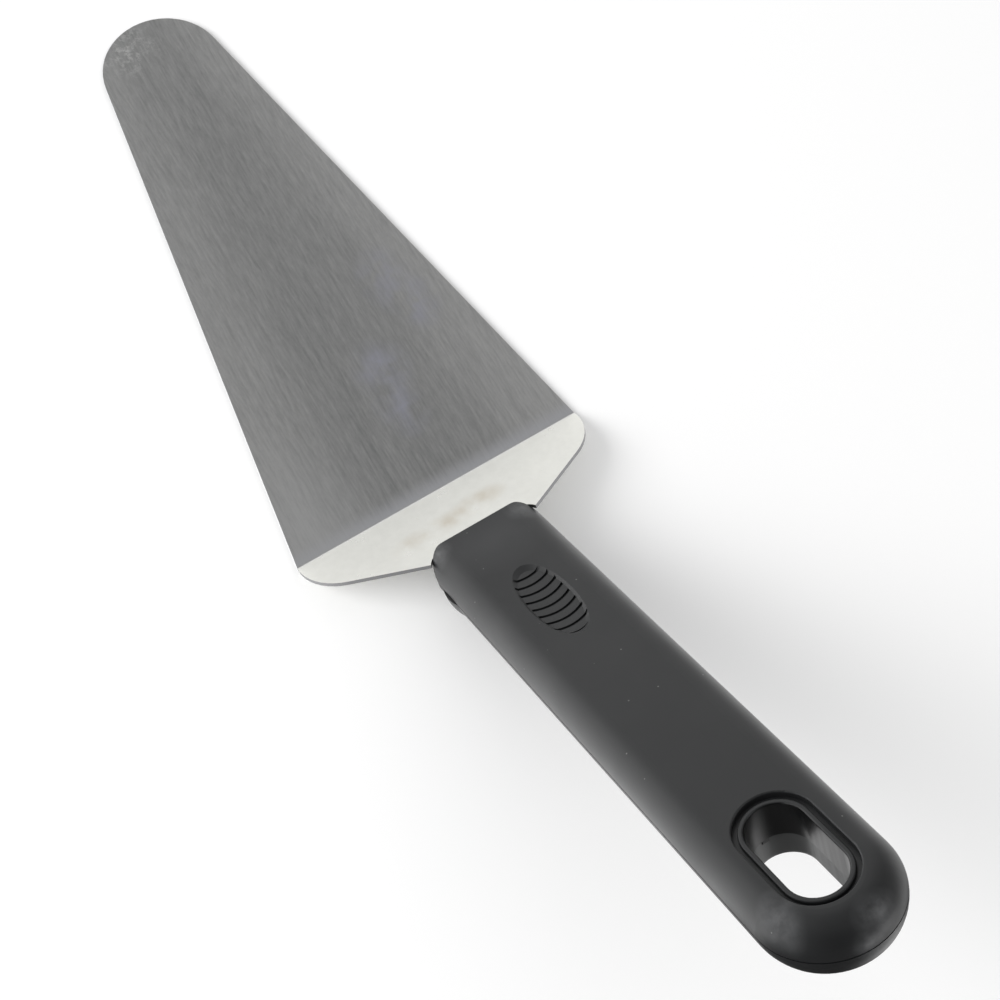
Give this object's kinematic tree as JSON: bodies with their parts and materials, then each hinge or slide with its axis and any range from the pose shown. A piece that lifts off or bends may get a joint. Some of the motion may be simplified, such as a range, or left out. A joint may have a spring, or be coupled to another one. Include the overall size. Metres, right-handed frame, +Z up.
{
  "type": "cake server",
  "caption": "Cake server with a flat round-tipped steel blade creased up into a black moulded shell handle with a grooved thumb pad and a hang hole.",
  "frame": {"origin": "middle of the blade's flat underside, half way from the tip to the crease, on the centre line", "axes": "+X from the blade's tip towards the handle, +Y across the blade, +Z up from the surface that the blade lies on"},
  "size_m": [0.2384, 0.063, 0.0788],
  "materials": {
    "blade_steel": "brushed along the blade, bright and smooth on the heel",
    "handle_plastic": "fine matt moulded black, glossier inside the hang hole"
  },
  "bodies": {
    "root": {"blade": "blade_steel", "upper_shell": "handle_plastic", "lower_shell": "handle_plastic"}
  },
  "joints": []
}
